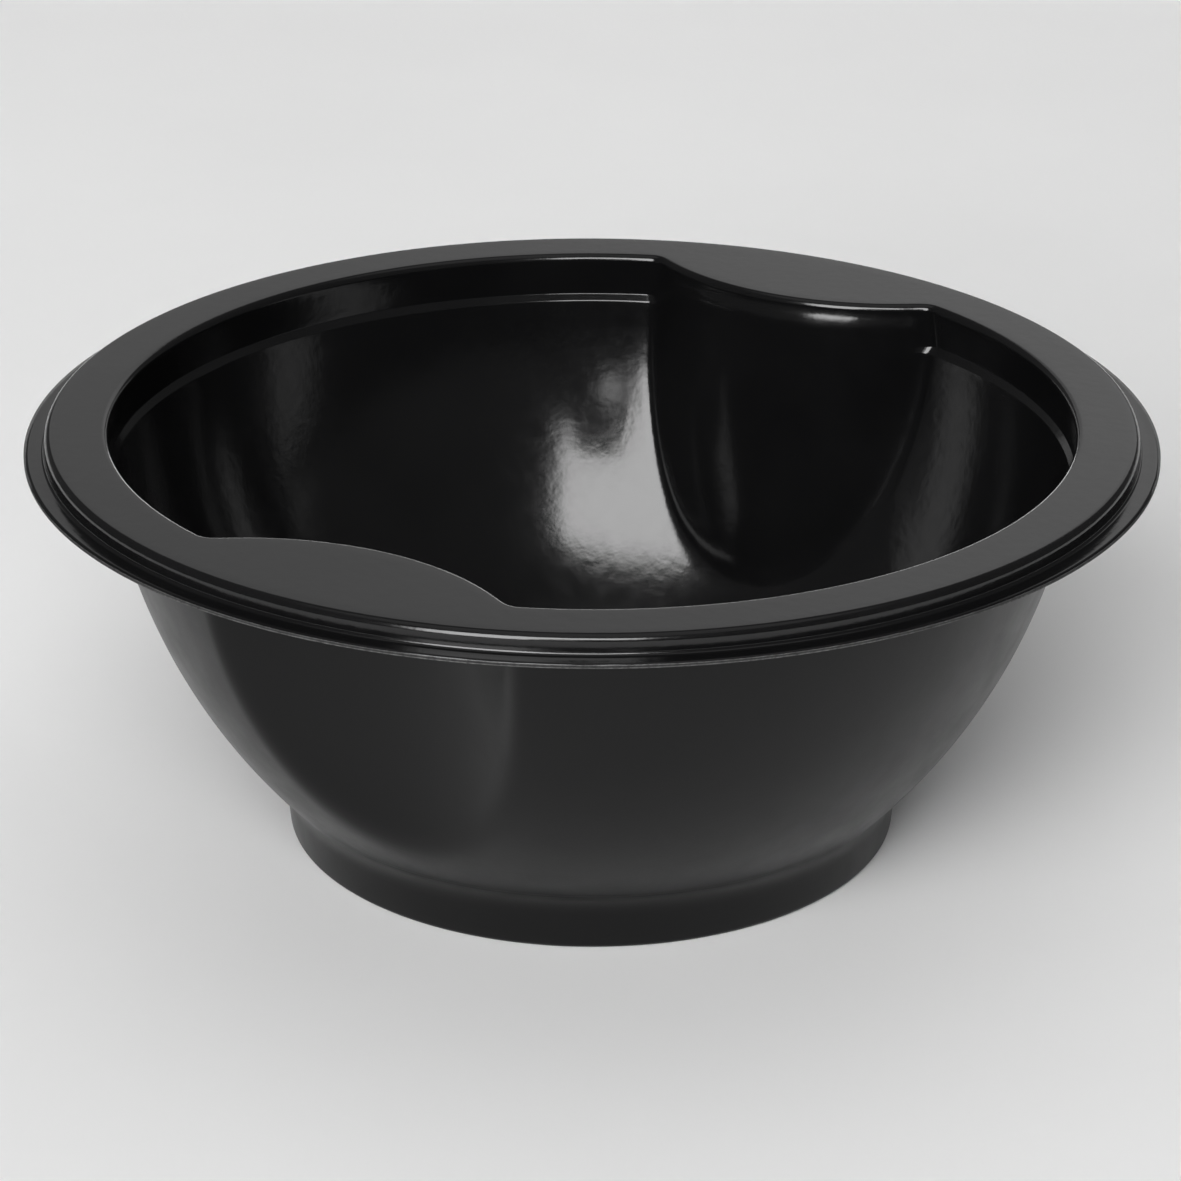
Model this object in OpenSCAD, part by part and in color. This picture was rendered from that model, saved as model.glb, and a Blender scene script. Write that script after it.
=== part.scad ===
// Hair color mixing bowl: one sheet of plastic drawn into a round tub with a wide flat rim, a thin
// trimmed lip, two grip recesses on opposite sides, a seat for a lid and a hollow foot.
// The origin is the middle of the foot's underside, +Z is up, and the recesses face +Y and -Y.

/* [Sheet] */
// Thickness of the formed sheet
sheet_t = 0.6; // [0.5:0.05:0.8]

/* [Rim] */
// Diameter over the trimmed lip
lip_d = 150; // [148:0.5:156]
// Height of the flat rim above the table
bowl_h = 58.2; // [57.8:0.2:60]
// Diameter of the step between the flat rim and the lip
shoulder_d = 144.6; // [142:0.2:146]
// Depth of that step, from the flat rim to the top of the lip
shoulder_h = 2.5; // [1.8:0.1:3]
// Fall of the lip from its root to its edge
lip_fall = 0.05; // [0:0.05:0.5]
// Diameter of the rim's inner edge
mouth_d = 127.6; // [127:0.2:128]
// Rounding of the rim's inner edge
mouth_round = 1.1; // [0.9:0.05:1.4]
// Rounding of the rim's outer edge
shoulder_round = 1; // [0.9:0.05:1.3]

/* [Lid seat] */
// Diameter of the seat's groove, a little wider than the mouth above it
seat_d = 128.2; // [128:0.1:128.8]
// Height of the groove above the table
seat_h = 52.2; // [51.6:0.1:53]
// Fall of the narrow ledge that slopes in from the groove to the wall
ledge_fall = 0.9; // [0.7:0.05:1.1]

/* [Wall] */
// Radius of the wall's bulge, seen from the side
bulge_r = 80.55; // [80.4:0.05:80.8]
// Height of the bulge's centre
bulge_h = 63.15; // [62.8:0.05:63.5]
// How far the bulge's centre lies beyond the bowl's axis
bulge_back = 15.7; // [15.5:0.05:15.9]

/* [Grip recesses] */
// Distance from the bowl's axis to the axis of each recess
grip_axis = 89.4; // [88:0.2:91]
// Distance from the bowl's axis to the nearest point of each recess, at the rim
grip_reach = 53.2; // [52:0.2:55]
// Lean of a recess face from the vertical, in degrees
grip_lean = 5.8; // [5:0.2:7]

/* [Foot] */
// Diameter of the foot at the table
foot_d = 82.6; // [80:0.2:83]
// Diameter of the foot where it meets the wall
foot_top_d = 84; // [83.4:0.1:85]
// Rounding of the foot's lower edge
foot_round = 0.8; // [0.8:0.05:1.4]
// Rounding where the foot meets the wall
crease_round = 6; // [2:0.5:7]
// Width of the ring that the bowl stands on, with its roundings
land_w = 6; // [4:0.5:8]
// Height of the base panel above the table
base_rise = 2; // [1.5:0.1:3]

/* [Hidden] */

$fn = 180;
arc_step = 22.5;        // most degrees between the points of a rounding
wall_step = 4;          // degrees between the points of the bulge
base_round = 1.5;       // roundings of the base panel's step
ledge_edge_round = 0.8; // convex edge of the ledge
wall_last = 3;          // height of the wall's last straight stretch, just below the ledge
corner_round = 0.5;     // seat's groove and the lip's root
slack = 1;              // overrun of a cutting shape past what it cuts

lip_r = lip_d / 2;
shoulder_r = shoulder_d / 2;
mouth_r = mouth_d / 2;
seat_r = seat_d / 2;
foot_r = foot_d / 2;
land_r = foot_r - land_w;
lip_z = bowl_h - shoulder_h;
channel_r = (mouth_r + shoulder_r) / 2; // middle of the hollow under the rim

// Radius of the wall's inner face at height z, and point of its outer face at angle a
function wall_r(z) = sqrt((bulge_r - sheet_t) ^ 2 - (z - bulge_h) ^ 2) - bulge_back;
function wall_point(a) = [bulge_r * cos(a) - bulge_back, bulge_h + bulge_r * sin(a), 0];

wall_start = -acos((foot_top_d / 2 + bulge_back) / bulge_r);
ledge_z = seat_h - ledge_fall;
wall_end_z = ledge_z - wall_last;
wall_end = asin((wall_end_z - bulge_h) / bulge_r);

// A path is a list of corners [radius, height, rounding]. The next functions turn one into points.
// Directions of the stretches before and after corner i
function flat(p) = [p.x, p.y];
function heading(p, q) = flat(q - p) / norm(flat(q - p));
function before(path, i) = heading(path[max(i - 1, 0)], path[max(i, 1)]);
function after(path, i) = heading(path[min(i, len(path) - 2)], path[min(i + 1, len(path) - 1)]);
function left_of(u) = [-u.y, u.x];

// Turn at corner i in degrees, positive to the left
function turn(path, i) =
    let (u = before(path, i), v = after(path, i))
    atan2(u.x * v.y - u.y * v.x, u * v);

// Path moved d to its left, with each rounding changed to keep the same centre
function shift(path, d) = [
    for (i = [0 : len(path) - 1])
        let (
            u = left_of(before(path, i)),
            v = left_of(after(path, i)),
            m = (u + v) * d / (1 + u * v),
            r = path[i].z
        )
        [path[i].x + m.x, path[i].y + m.y, r == 0 ? 0 : r - sign(turn(path, i)) * d]
];

// Points of a path, with an arc at each rounded corner
function rounded(path) = [
    for (i = [0 : len(path) - 1])
        let (
            r = path[i].z,
            t = turn(path, i),
            n = ceil(abs(t) / arc_step),
            start = flat(path[i]) - before(path, i) * r * tan(abs(t) / 2),
            centre = start + left_of(before(path, i)) * r * sign(t),
            spoke = start - centre
        )
        each r == 0 || t == 0
            ? [flat(path[i])]
            : [for (k = [0 : n]) let (a = t * k / n) centre + spoke * cos(a) + left_of(spoke) * sin(a)]
];

function reversed(list) = [for (i = [len(list) - 1 : -1 : 0]) list[i]];

// Top side of the rim, from the wall out to the trimmed lip
rim_top = [
    [wall_r(wall_end_z), wall_end_z, 0],
    [wall_r(ledge_z), ledge_z, ledge_edge_round],
    [seat_r, seat_h, corner_round],
    [mouth_r, bowl_h, mouth_round],
    [shoulder_r, bowl_h, shoulder_round],
    [shoulder_r, lip_z, corner_round],
    [lip_r, lip_z - lip_fall, 0]
];

// Under side of the sheet, from the middle of the base out to the trimmed lip
under_side = concat(
    [
        [0, base_rise, 0],
        [land_r - base_rise, base_rise, base_round],
        [land_r, 0, base_round],
        [foot_r, 0, foot_round],
        wall_point(wall_start) + [0, 0, crease_round]
    ],
    [for (a = [wall_start + wall_step : wall_step : wall_end - wall_step / 2]) wall_point(a)],
    shift(rim_top, -sheet_t)
);
top_side = shift(under_side, sheet_t);

// Points of the top side up to the flat rim, and from there out to the lip
inside = [for (p = rounded(top_side)) if (p.x < channel_r) p];
outside = [for (p = rounded(top_side)) if (p.x > channel_r) p];

// Round tub with its mouth filled level with the rim
module filled_tub() {
    rotate_extrude()
        polygon(concat(rounded(under_side), reversed(outside), [[0, bowl_h]]));
}

// Space inside the round tub
module tub_inside() {
    rotate_extrude()
        polygon(concat(inside, [[mouth_r + mouth_round, bowl_h + slack], [0, bowl_h + slack]]));
}

// Column on a recess's axis. Its side is the face of the recess that shows inside the bowl, moved
// back by inset, and its top is the flat rim, moved down by inset.
module grip_column(inset) {
    top = bowl_h - inset;
    top_r = grip_axis - grip_reach + inset * tan(grip_lean) - inset / cos(grip_lean);
    foot_z = -slack;
    column_foot_r = top_r + (top - foot_z) * tan(grip_lean);
    translate([0, grip_axis])
        rotate_extrude()
            polygon(rounded([
                [0, foot_z, 0],
                [column_foot_r, foot_z, 0],
                [top_r, top, mouth_round - inset],
                [0, top, 0]
            ]));
}

module both_sides() {
    for (side = [0, 1])
        rotate(180 * side)
            children();
}

// The whole bowl: the filled tub, less the recesses from below, less the space inside
module bowl() {
    color([0.03, 0.03, 0.03])
        difference() {
            filled_tub();
            both_sides()
                intersection() {
                    grip_column(sheet_t);
                    translate([0, 0, -slack])
                        cylinder(r = channel_r, h = bowl_h);
                }
            difference() {
                tub_inside();
                both_sides()
                    grip_column(0);
            }
        }
}

bowl();
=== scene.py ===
"""Looks of the hair color bowl: one drawn sheet of black plastic, glossy inside and satin outside,
on a plain pale floor. Lengths in the shape section are millimetres, and everything else is metres."""
import math

import bpy
import numpy as np
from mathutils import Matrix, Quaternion, Vector


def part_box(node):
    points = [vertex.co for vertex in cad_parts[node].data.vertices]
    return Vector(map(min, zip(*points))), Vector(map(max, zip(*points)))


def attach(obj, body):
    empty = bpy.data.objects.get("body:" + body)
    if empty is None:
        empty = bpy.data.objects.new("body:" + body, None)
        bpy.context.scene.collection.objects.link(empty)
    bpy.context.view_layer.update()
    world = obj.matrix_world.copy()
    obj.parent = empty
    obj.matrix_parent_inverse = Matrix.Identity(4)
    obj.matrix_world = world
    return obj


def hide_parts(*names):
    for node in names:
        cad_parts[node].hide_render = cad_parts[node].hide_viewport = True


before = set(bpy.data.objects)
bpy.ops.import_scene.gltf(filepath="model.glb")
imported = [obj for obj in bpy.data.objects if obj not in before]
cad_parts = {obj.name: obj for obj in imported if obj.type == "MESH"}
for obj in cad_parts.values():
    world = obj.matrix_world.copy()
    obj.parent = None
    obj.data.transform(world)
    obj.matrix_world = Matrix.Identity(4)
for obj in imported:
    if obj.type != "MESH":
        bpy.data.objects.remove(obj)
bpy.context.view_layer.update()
LOW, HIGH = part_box("bowl")

# ---------------------------------------------------------------- shape, in millimetres
MM = 0.001
BOWL_H = HIGH.z / MM
LIP_R = HIGH.y / MM
SHEET_T = 0.6

SHOULDER_R, SHOULDER_H, SHOULDER_ROUND = 72.3, 2.5, 1.0
MOUTH_R, MOUTH_ROUND = 63.8, 0.95
RIM_START = 1.1             # where the flat rim starts outside the mouth, in roundings of its edge
LIP_FALL, LIP_BEND_R, LIP_BEND_ROUND = 0.05, 73.6, 1.5
LIP_THINNING = 0.15         # thickness that the sheet loses between the lip's bend and its edge

SEAT_R, SEAT_H, LEDGE_FALL = 64.1, 52.2, 0.9
LEDGE_EDGE_ROUND, GROOVE_ROUND, ROOT_ROUND = 0.55, 0.3, 0.5
WALL_LAST = 1.0             # height of the wall's last straight stretch, just below the ledge

BULGE_R, BULGE_H, BULGE_BACK = 80.55, 63.15, 15.7
BULGE_START, BULGE_END = 0.04, 0.01     # radians of it left free at its ends, for the roundings there
BULGE_STEP = 0.0125                     # radians between its points

GRIP_AXIS, GRIP_REACH, GRIP_LEAN = 89.4, 53.2, math.radians(5.8)
GRIP_BLEND = 2.6            # how softly a recess runs into the wall
NO_GRIP = 1000.0            # radius given where there is no recess
BEAD_IN, BEAD_TOP, BEAD_FOOT = 0.44, 56.75, 55.6   # small step under the rim's edge, on a recess face
BEAD_END = 0.42             # where it dies out, in radians from the middle of the recess
BEAD_FADE = 0.5             # part of its half length over which it dies out

FOOT_R, FOOT_TOP_R, FOOT_ROUND = 41.3, 42.0, 0.8
LAND_R, BASE_RISE, BASE_ROUND = 35.3, 2.0, 1.5
CREASE_ROUND = 6.0
CREASE_LINE = 8.7           # height of the fine mark where the foot's part of the mould meets the wall's
CREASE_WIDTH, CREASE_DEPTH = 0.3, 0.02
CUT_DARK = 0.3              # how far from its middle the cut edge turns pale

AROUND = 720                # columns of the mesh round the bowl
ARC_STEP = 6.0              # most degrees between the points of a rounding
ROW_GAP = 1.2               # most distance between the rows of the mesh

CUT_ROWS = (0.12, 0.35, 0.65, 0.88)     # rows on the cut edge, as parts of the way down it
TEAR_SEED = 7
TEAR, TEAR_LEAST = 0.05, 0.4            # depth of the torn points, and the least as a part of it
WANDER, WANDER_WAVES = 0.02, (3, 7, 19, 41, 83)     # wander of the cut, and its waves round the bowl
WAVE_LEAST = 0.4                        # least height of a wave, as a part of the most

INSIDE, OUTSIDE, CUT = 0, 1, 2          # the skin's materials


def angles_round(count):
    """Even angles round a full circle."""
    return np.arange(count) * 2 * math.pi / count


def wall_r(z):
    """Radius of the wall's inner face at height z."""
    return math.sqrt((BULGE_R - SHEET_T) ** 2 - (z - BULGE_H) ** 2) - BULGE_BACK


def turn_at(corners, i):
    """Directions before and after corner i, and the turn between them, positive to the left."""
    p = np.array(corners[i][:2])
    u = p - np.array(corners[i - 1][:2])
    v = np.array(corners[i + 1][:2]) - p
    u, v = u / np.linalg.norm(u), v / np.linalg.norm(v)
    return p, u, v, math.atan2(u[0] * v[1] - u[1] * v[0], u @ v)


def shifted(corners, d):
    """The same corners moved d to the left, with each rounding changed to keep its centre."""
    moved = [[corners[0][0], corners[0][1] + d, 0]]
    for i in range(1, len(corners) - 1):
        p, u, v, turn = turn_at(corners, i)
        middle = (np.array([-u[1], u[0]]) + np.array([-v[1], v[0]])) * d / (1 + u @ v)
        r = corners[i][2]
        moved.append([*(p + middle), r and r - math.copysign(d, turn)])
    return moved


def rounded(corners):
    """Points of an outline of [radius, height, rounding] corners, with an arc at each rounded one."""
    points = []
    for i, (x, z, r) in enumerate(corners):
        p = np.array([x, z])
        if r == 0 or i in (0, len(corners) - 1):
            points.append(p)
            continue
        p, u, v, turn = turn_at(corners, i)
        start = p - u * r * math.tan(abs(turn) / 2)
        side = np.array([-u[1], u[0]]) * math.copysign(1, turn)
        centre = start + side * r
        steps = max(2, math.ceil(abs(math.degrees(turn)) / ARC_STEP))
        spoke = start - centre
        for k in range(steps + 1):
            a = turn * k / steps
            c, s = math.cos(a), math.sin(a)
            points.append(centre + np.array([spoke[0] * c - spoke[1] * s, spoke[0] * s + spoke[1] * c]))
    return np.array(points)


def filled_in(points, gap):
    """The same outline with points added where two are more than gap apart."""
    out = [points[0]]
    for p, q in zip(points[:-1], points[1:]):
        n = max(1, math.ceil(np.linalg.norm(q - p) / gap))
        out += [p + (q - p) * k / n for k in range(1, n + 1)]
    return np.array(out)


def top_outline():
    """Upper side of the sheet in section, from the middle of the base out to the lip."""
    first = -math.acos((FOOT_TOP_R + BULGE_BACK) / BULGE_R)
    ledge_z = SEAT_H - LEDGE_FALL
    wall_end_z = ledge_z - WALL_LAST
    last = math.asin((wall_end_z - BULGE_H) / (BULGE_R - SHEET_T))
    angles = np.arange(first + BULGE_START, last - BULGE_END, BULGE_STEP)
    wall = [[BULGE_R * math.cos(a) - BULGE_BACK, BULGE_H + BULGE_R * math.sin(a), 0] for a in angles]
    under = [
        [0, BASE_RISE, 0],
        [LAND_R - BASE_RISE, BASE_RISE, BASE_ROUND],
        [LAND_R, 0, BASE_ROUND],
        [FOOT_R, 0, FOOT_ROUND],
        [FOOT_TOP_R, BULGE_H + BULGE_R * math.sin(first), CREASE_ROUND],
        *wall,
    ]
    lip_z = BOWL_H - SHOULDER_H
    rim = [
        [wall_r(wall_end_z), wall_end_z, 0],
        [wall_r(ledge_z), ledge_z, LEDGE_EDGE_ROUND],
        [SEAT_R, SEAT_H, GROOVE_ROUND],
        [MOUTH_R, BOWL_H, MOUTH_ROUND],
        [SHOULDER_R, BOWL_H, SHOULDER_ROUND],
        [SHOULDER_R, lip_z, ROOT_ROUND],
        [LIP_BEND_R, lip_z - LIP_FALL, LIP_BEND_ROUND],
        [LIP_R, lip_z - LIP_FALL, 0],
    ]
    return filled_in(rounded(shifted(under, SHEET_T) + rim), ROW_GAP)


def smooth_min(a, b, k):
    """The smaller of a and b, with the corner between them rounded where they differ by less than k."""
    h = np.clip(k - np.abs(a - b), 0, None) / k
    return np.minimum(a, b) - h ** 3 * k / 6


def smooth_step(x):
    x = np.clip(x, 0, 1)
    return x * x * (3 - 2 * x)


def grip_face(angle, z):
    """Radius of the recess faces, as bulges inside the bowl, at an angle round it and a height."""
    off = np.arccos(np.clip(np.abs(np.sin(angle)), -1, 1))     # angle from the nearer recess's middle
    reach = GRIP_AXIS - GRIP_REACH + (BOWL_H - z) * math.tan(GRIP_LEAN)
    inside = reach ** 2 - (GRIP_AXIS * np.sin(off)) ** 2
    face = GRIP_AXIS * np.cos(off) - np.sqrt(np.clip(inside, 0, None))
    bead = BEAD_IN * smooth_step((BEAD_TOP - z) / (BEAD_TOP - BEAD_FOOT))
    face = face - bead * smooth_step((1 - off / BEAD_END) / BEAD_FADE)
    return np.where(inside > 0, face, NO_GRIP)


def top_side():
    """Grid of points on the sheet's upper side: one row for each outline point, one column an angle."""
    angle = angles_round(AROUND)
    ray = np.stack([np.cos(angle), np.sin(angle)], -1)
    outline = top_outline()
    flat_start, flat_end = MOUTH_R + MOUTH_ROUND * RIM_START, SHOULDER_R - SHOULDER_ROUND
    edge_r, edge_z = [p for p in outline if p[0] < flat_start and p[1] < BOWL_H - MOUTH_ROUND][-1]
    mouth = ray * smooth_min(np.full(AROUND, edge_r), grip_face(angle, edge_z), GRIP_BLEND)[:, None]
    along = np.roll(mouth, -1, 0) - np.roll(mouth, 1, 0)
    outward = np.stack([along[:, 1], -along[:, 0]], -1) / np.linalg.norm(along, axis=1)[:, None]
    # The rim's rows follow the mouth's edge near it, and run out to circles at the shoulder
    rows = []
    for r, z in outline:
        if z > edge_z and r < flat_end:
            follow = mouth + outward * (r - edge_r)
            s = smooth_step((r - flat_start) / (flat_end - flat_start))
            plan = follow * (1 - s) + ray * r * s
        elif r < flat_start:
            plan = ray * smooth_min(np.full(AROUND, r), grip_face(angle, z), GRIP_BLEND)[:, None]
        else:
            plan = ray * r
        rows.append(np.column_stack([plan, np.full(AROUND, z)]))
    return np.array(rows)


def normals(grid):
    """Unit normals of a grid of points that closes on itself across its columns, facing up and inward."""
    across = np.roll(grid, -1, 1) - np.roll(grid, 1, 1)
    down = np.gradient(grid, axis=0)
    n = np.cross(down, across)
    n[0] = (0, 0, 1)
    return n / np.maximum(np.linalg.norm(n, axis=2), 1e-12)[:, :, None]


def wander(rng):
    """Random wander of the cut, one value an angle."""
    angle = angles_round(AROUND)
    wobble = np.zeros(AROUND)
    for w in WANDER_WAVES:
        wobble += np.sin(w * angle + rng.uniform(0, 2 * math.pi)) * rng.uniform(WAVE_LEAST, 1)
    return WANDER * wobble / np.abs(wobble).max()


def cut_edge(top, under):
    """Rows of points down the trimmed edge, from the upper side to the under side, a little ragged."""
    rng = np.random.default_rng(TEAR_SEED)
    rows = []
    for part in CUT_ROWS:
        row = top * (1 - part) + under * part
        ray = row[:, :2] / np.linalg.norm(row[:, :2], axis=1)[:, None]
        torn = TEAR * (rng.random(AROUND) * (1 - TEAR_LEAST) + TEAR_LEAST) + wander(rng)
        row[:, :2] -= ray * np.clip(torn, 0, None)[:, None]
        rows.append(row)
    return np.array(rows)


def grid_faces(first_row, rows, flip):
    """Quads between rows of AROUND vertices, starting at vertex first_row."""
    faces = []
    for i in range(rows - 1):
        a = first_row + i * AROUND
        for j in range(AROUND):
            k = (j + 1) % AROUND
            quad = (a + j, a + k, a + AROUND + k, a + AROUND + j)
            faces.append(quad[::-1] if flip else quad)
    return faces


def bowl_mesh():
    """The closed skin of the sheet: upper side, cut edge and under side, with their three materials."""
    top = top_side()
    thinned = smooth_step((top[:, :1, :1] - LIP_BEND_R) / (LIP_R - LIP_BEND_R))
    under = top - normals(top) * (SHEET_T - LIP_THINNING * thinned)
    edge = cut_edge(top[-1], under[-1])
    rows = np.concatenate([top[1:], edge, under[:0:-1]])
    verts = [tuple(p) for p in rows.reshape(-1, 3) * MM]
    top_middle, under_middle = len(verts), len(verts) + 1
    verts += [(0, 0, top[0, 0, 2] * MM), (0, 0, under[0, 0, 2] * MM)]
    faces = grid_faces(0, len(rows), True)
    last = (len(rows) - 1) * AROUND
    faces += [(top_middle, j, (j + 1) % AROUND) for j in range(AROUND)]
    faces += [(under_middle, last + (j + 1) % AROUND, last + j) for j in range(AROUND)]
    mesh = bpy.data.meshes.new("bowl_skin")
    mesh.from_pydata(verts, [], faces)
    upper_rows, edge_rows = len(top) - 2, len(edge) + 1
    under_rows = len(rows) - 1 - upper_rows - edge_rows
    bands = [(INSIDE, upper_rows), (CUT, edge_rows), (OUTSIDE, under_rows), (INSIDE, 1), (OUTSIDE, 1)]
    side = [material for material, count in bands for _ in range(count * AROUND)]
    mesh.polygons.foreach_set("material_index", side)
    mesh.polygons.foreach_set("use_smooth", [True] * len(mesh.polygons))
    mesh.update()
    return mesh


# ---------------------------------------------------------------- materials
class Nodes:
    """Short hand for building a material's node tree."""

    def __init__(self, name):
        self.material = bpy.data.materials.new(name)
        self.material.use_nodes = True
        self.tree = self.material.node_tree
        self.shader = self.tree.nodes["Principled BSDF"]

    def add(self, kind, **settings):
        node = self.tree.nodes.new("ShaderNode" + kind)
        for key, value in settings.items():
            if hasattr(node, key):
                setattr(node, key, value)
            else:
                node.inputs[key.replace("_", " ")].default_value = value
        return node

    def link(self, source, target):
        self.tree.links.new(source, target)

    def set(self, **values):
        for key, value in values.items():
            self.shader.inputs[key.replace("_", " ")].default_value = value

    def noise(self, scale, detail=2.0, roughness=0.5):
        """Noise in object space, with features about 1 / scale metres across."""
        place = self.add("TexCoord")
        node = self.add("TexNoise", Scale=scale, Detail=detail, Roughness=roughness)
        self.link(place.outputs["Object"], node.inputs["Vector"])
        return node.outputs["Fac"]

    def spread(self, value, low, high, from_low=0.3, from_high=0.7):
        """value, stretched from one range to another."""
        node = self.add("MapRange")
        node.inputs["From Min"].default_value = from_low
        node.inputs["From Max"].default_value = from_high
        node.inputs["To Min"].default_value = low
        node.inputs["To Max"].default_value = high
        self.link(value, node.inputs["Value"])
        return node.outputs["Result"]

    def height(self):
        """Height above the table."""
        split = self.add("SeparateXYZ")
        self.link(self.add("TexCoord").outputs["Object"], split.inputs["Vector"])
        return split.outputs["Z"]

    def line_at(self, z, width):
        """A fine line round the bowl at height z, 1 in its middle and 0 beyond its width."""
        apart = self.add("Math", operation="SUBTRACT")
        self.link(self.height(), apart.inputs[0])
        apart.inputs[1].default_value = z
        size = self.add("Math", operation="ABSOLUTE")
        self.link(apart.outputs[0], size.inputs[0])
        return self.spread(size.outputs[0], 1, 0, 0, width)

    def off_centre(self):
        """0 in the middle of a flat piece, and 1 all along the sides of its bounding rectangle."""
        split = self.add("SeparateXYZ")
        self.link(self.add("TexCoord").outputs["Generated"], split.inputs["Vector"])
        larger = self.add("Math", operation="MAXIMUM")
        for i, axis in enumerate("XY"):
            centred = self.add("Math", operation="MULTIPLY_ADD")
            self.link(split.outputs[axis], centred.inputs[0])
            centred.inputs[1].default_value = 2
            centred.inputs[2].default_value = -1
            size = self.add("Math", operation="ABSOLUTE")
            self.link(centred.outputs[0], size.inputs[0])
            self.link(size.outputs[0], larger.inputs[i])
        return larger.outputs[0]

    def bump(self, height, distance, strength=1.0, under=None):
        node = self.add("Bump", Strength=strength, Distance=distance)
        self.link(height, node.inputs["Height"])
        if under:
            self.link(under, node.inputs["Normal"])
        return node.outputs["Normal"]

    def two_tone(self, value, dark, light):
        node = self.add("Mix", data_type="RGBA")
        node.inputs["A"].default_value = (*dark, 1)
        node.inputs["B"].default_value = (*light, 1)
        self.link(value, node.inputs["Factor"])
        return node.outputs["Result"]


def gloss_plastic():
    """Free face of the drawn sheet: deep gloss, with a faint orange peel and a few fine scuffs."""
    m = Nodes("gloss_black_plastic")
    m.set(IOR=1.5)
    tone = m.two_tone(m.spread(m.noise(60, 3), 0, 1), (0.0035, 0.0035, 0.0037), (0.0052, 0.0052, 0.0054))
    m.link(tone, m.shader.inputs["Base Color"])
    scuff = m.noise(420, 6, 0.7)
    m.link(m.spread(scuff, 0.11, 0.17), m.shader.inputs["Roughness"])
    waves = m.bump(m.noise(70, 1), 0.00004)
    peel = m.bump(m.noise(600, 2), 0.00002, under=waves)
    m.link(peel, m.shader.inputs["Normal"])
    return m.material


def satin_plastic():
    """Face that touched the mould: satin, with a fine even grain."""
    m = Nodes("satin_black_plastic")
    m.set(IOR=1.36)
    tone = m.two_tone(m.spread(m.noise(45, 4), 0, 1), (0.0006, 0.0006, 0.0007), (0.0014, 0.0014, 0.0015))
    m.link(tone, m.shader.inputs["Base Color"])
    m.link(m.spread(m.noise(160, 5, 0.6), 0.30, 0.38), m.shader.inputs["Roughness"])
    grain = m.bump(m.noise(2600, 2), 0.000008, 0.6)
    line = m.line_at(CREASE_LINE * MM, CREASE_WIDTH * MM)
    crease = m.bump(line, -CREASE_DEPTH * MM, under=grain)
    m.link(crease, m.shader.inputs["Normal"])
    return m.material


def cut_plastic():
    """Trimmed edge of the sheet: matt, paler in a grainy tone along its two corners, and dark in its
    middle.
    """
    m = Nodes("cut_edge_plastic")
    m.set(IOR=1.45, Roughness=0.7, Specular_IOR_Level=0.15)
    # paler grainy tone for the edge's two corners; its middle is made dark below
    torn = m.two_tone(m.spread(m.noise(1500, 5, 0.7), 0, 1), (0.03, 0.03, 0.03), (0.22, 0.22, 0.22))
    middle = BOWL_H - SHOULDER_H - LIP_FALL - (SHEET_T - LIP_THINNING) / 2
    tone = m.two_tone(m.line_at(middle * MM, CUT_DARK * MM), (0, 0, 0), (0.015, 0.015, 0.015))
    m.link(torn, tone.node.inputs["A"])
    m.link(tone, m.shader.inputs["Base Color"])
    m.link(m.bump(m.noise(3000, 4, 0.7), 0.00005), m.shader.inputs["Normal"])
    return m.material


def floor_paper():
    """Plain pale paper."""
    m = Nodes("pale_paper")
    m.set(Roughness=0.9, Specular_IOR_Level=0.1)
    tone = m.two_tone(m.spread(m.noise(9, 4), 0, 1), (0.82, 0.82, 0.82), (0.85, 0.85, 0.85))
    m.link(tone, m.shader.inputs["Base Color"])
    m.link(m.bump(m.noise(900, 3), 0.00005, 0.3), m.shader.inputs["Normal"])
    return m.material


# ---------------------------------------------------------------- pieces
def add_object(name, mesh):
    piece = bpy.data.objects.new(name, mesh)
    bpy.context.scene.collection.objects.link(piece)
    return piece


def bowl():
    piece = add_object("bowl_sheet", bowl_mesh())
    for material in (gloss_plastic(), satin_plastic(), cut_plastic()):
        piece.data.materials.append(material)
    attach(piece, "root")
    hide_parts("bowl")
    return piece


def floor(radius=8.0, around=96):
    verts = [(radius * math.cos(a), radius * math.sin(a), 0) for a in angles_round(around)]
    mesh = bpy.data.meshes.new("floor")
    mesh.from_pydata(verts, [], [tuple(range(around))])
    piece = add_object("floor", mesh)
    piece.location.z = LOW.z
    piece.data.materials.append(floor_paper())
    return piece


# ---------------------------------------------------------------- camera and lights
VIEW_TURN = math.radians(28.5)      # the camera's bearing from -Y, towards +X
VIEW_RISE = math.radians(23.57)
VIEW_ROLL = math.radians(0.17)
VIEW_DISTANCE = 0.57
VIEW_ASIDE = -0.00016               # shift of the camera to its right
LENS, SENSOR = 128.65, 36.0
AIM_HEIGHT = 0.5577                 # height that the camera looks at, as a part of the bowl's height
AIM = Vector((0, 0, HIGH.z * AIM_HEIGHT))

PANEL_DISTANCE = 6.0
FADE_START = 0.78                   # where a soft panel starts to fade, as a part of the way to its sides
CHANGE_START, CHANGE_END = -0.9, 0.5    # stretch across a panel where its strength changes, in metres

ROOM, CEILING = 0.09, 0.42          # light from all round and from straight above
CEILING_EDGE, CEILING_FULL = 0.82, 0.94     # sines of the rises between which one becomes the other


def bearing(turn, rise):
    """Direction seen from the bowl: turn degrees from straight away from the camera, to the right,
    and rise degrees above the floor."""
    a, e = math.radians(turn), math.radians(rise)
    right = Vector((math.cos(VIEW_TURN), math.sin(VIEW_TURN), 0))
    away = Vector((-math.sin(VIEW_TURN), math.cos(VIEW_TURN), 0))
    return (right * math.sin(a) + away * math.cos(a)) * math.cos(e) + Vector((0, 0, math.sin(e)))


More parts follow.
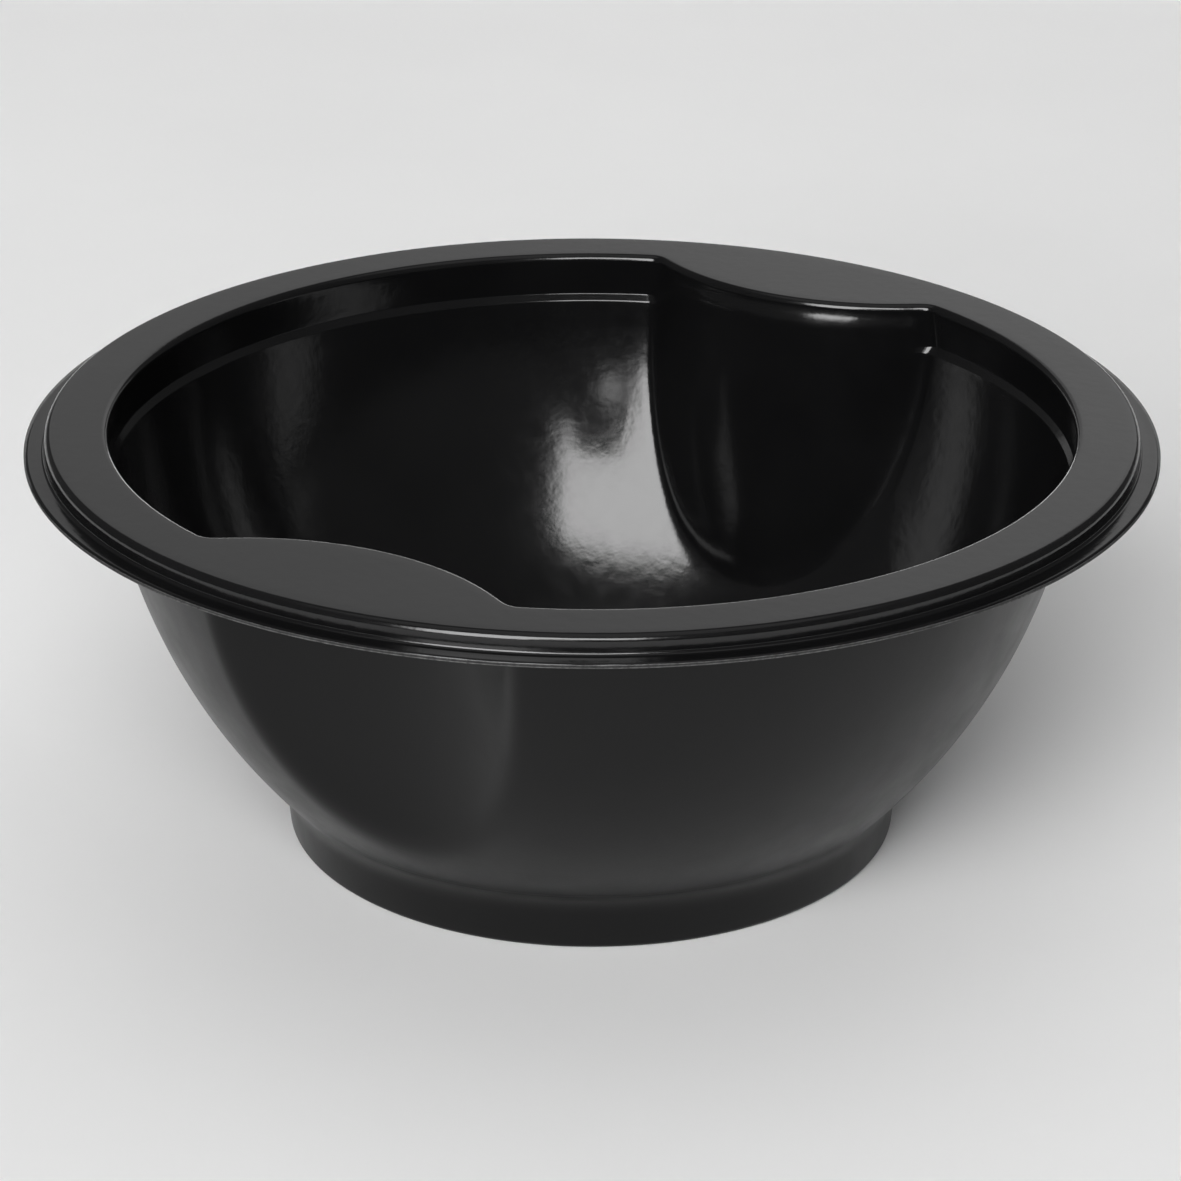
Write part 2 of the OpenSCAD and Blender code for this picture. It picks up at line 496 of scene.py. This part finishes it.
def camera():
    data = bpy.data.cameras.new("camera")
    data.lens, data.sensor_width = LENS, SENSOR
    eye = add_object("camera", data)
    eye.location = AIM + bearing(180, math.degrees(VIEW_RISE)) * VIEW_DISTANCE
    eye.rotation_mode = "QUATERNION"
    eye.rotation_quaternion = (AIM - eye.location).to_track_quat("-Z", "Y")
    eye.location += bearing(90, 0) * VIEW_ASIDE
    eye.rotation_quaternion @= Quaternion((0, 0, 1), VIEW_ROLL)
    bpy.context.scene.camera = eye


def glow(name, radiance, right=None, soft=False):
    """Light of an even strength, or of one that changes to another across the panel's middle. A soft
    panel fades towards its sides."""
    m = Nodes(name)
    m.set(Base_Color=(0, 0, 0, 1), Specular_IOR_Level=0)
    m.set(Emission_Color=(1, 1, 1, 1), Emission_Strength=radiance)
    if right:
        split = m.add("SeparateXYZ")
        m.link(m.add("TexCoord").outputs["Object"], split.inputs["Vector"])
        change = m.spread(split.outputs["X"], radiance, right, CHANGE_START, CHANGE_END)
        m.link(change, m.shader.inputs["Emission Strength"])
    if soft:
        m.link(m.spread(m.off_centre(), radiance, 0, FADE_START, 1), m.shader.inputs["Emission Strength"])
    return m.material


def facing(place):
    """Turn of a panel that faces the bowl from place."""
    return (-bearing(*place)).to_track_quat("Z", "Y")


def hang(name, place, distance, outline, material):
    """Flat panel that faces the bowl from place, a (turn, rise) bearing, with an outline of (x, y)."""
    mesh = bpy.data.meshes.new(name)
    mesh.from_pydata([(x, y, 0) for x, y in outline], [], [tuple(range(len(outline)))])
    mesh.materials.append(material)
    piece = add_object(name, mesh)
    piece.location = AIM + bearing(*place) * distance
    piece.rotation_mode = "QUATERNION"
    piece.rotation_quaternion = facing(place)
    piece.visible_camera = False
    return piece


def superellipse(wide, tall, distance, squareness, points=64):
    """Outline that fills wide by tall degrees. A squareness of 2 is an ellipse, and more is squarer."""
    reach_x = distance * math.tan(math.radians(wide / 2))
    reach_y = distance * math.tan(math.radians(tall / 2))
    p = 2 / squareness
    outline = []
    for a in angles_round(points):
        c, s = math.cos(a), math.sin(a)
        outline.append((math.copysign(abs(c) ** p, c) * reach_x, math.copysign(abs(s) ** p, s) * reach_y))
    return outline


def panel(name, place, size, material, distance=PANEL_DISTANCE, squareness=2.0):
    """Panel at place that fills size, as (wide, tall) degrees seen from the bowl."""
    return hang(name, place, distance, superellipse(*size, distance, squareness), material)


def on_panel(place, distance, corner):
    """Point of a panel, in its own x and y, that is seen from the bowl at a (turn, rise) bearing."""
    way, middle = bearing(*corner), bearing(*place)
    point = facing(place).inverted() @ (way * (distance / way.dot(middle)) - middle * distance)
    return point.x, point.y


def key_light(place=(-166.3, 29.6), size=(45, 43), squareness=3.3, distance=PANEL_DISTANCE):
    """Large soft window, with a dark bite in its lower side where the camera stands in front of it."""
    corners = [
        (170, 21.5), (173.8, 21.5), (174.6, 26), (177, 28),
        (187, 28), (189, 25.5), (191, 18), (192.5, 9),
    ]
    bite = [on_panel(place, distance, corner) for corner in corners]
    window = superellipse(*size, distance, squareness)
    lowest = len(window) * 3 // 4
    before = [p for p in window[:lowest] if p[1] > bite[0][1]]
    after = [p for p in window[lowest:] if p[0] > bite[-1][0]]
    hang("key", place, distance, before + bite + after, glow("key_glow", 10, soft=True))


def lights():
    key_light()
    panel("gap", (-175.2, 15.1), (6.4, 6.2), glow("gap_glow", 3.8, soft=True))
    panel("backdrop", (5, 24), (44, 24), glow("backdrop_glow", 0.43, 0.64), squareness=8)
    panel("far_wall", (0, 1.25), (80, 6.5), glow("far_wall_glow", 0.75), distance=5.95, squareness=8)
    panel("horizon", (0, 2.5), (18, 7), glow("horizon_glow", 3.5), distance=5.9)
    fill = panel("fill", (0, 75), (70, 70), glow("fill_glow", 0.8))
    fill.visible_glossy = False


def surroundings():
    """A dim room under a soft ceiling."""
    world = bpy.data.worlds.new("room")
    world.use_nodes = True
    nodes, link = world.node_tree.nodes, world.node_tree.links.new
    place, split, ramp = (nodes.new("ShaderNode" + k) for k in ("TexCoord", "SeparateXYZ", "MapRange"))
    ramp.interpolation_type = "SMOOTHSTEP"
    between = {"From Min": CEILING_EDGE, "From Max": CEILING_FULL, "To Min": ROOM, "To Max": CEILING}
    for key, value in between.items():
        ramp.inputs[key].default_value = value
    link(place.outputs["Generated"], split.inputs["Vector"])
    link(split.outputs["Z"], ramp.inputs["Value"])
    link(ramp.outputs["Result"], nodes["Background"].inputs["Strength"])
    nodes["Background"].inputs["Color"].default_value = (1, 1, 1, 1)
    bpy.context.scene.world = world
    bpy.context.scene.view_settings.view_transform = "Standard"


bowl()
floor()
camera()
surroundings()
lights()
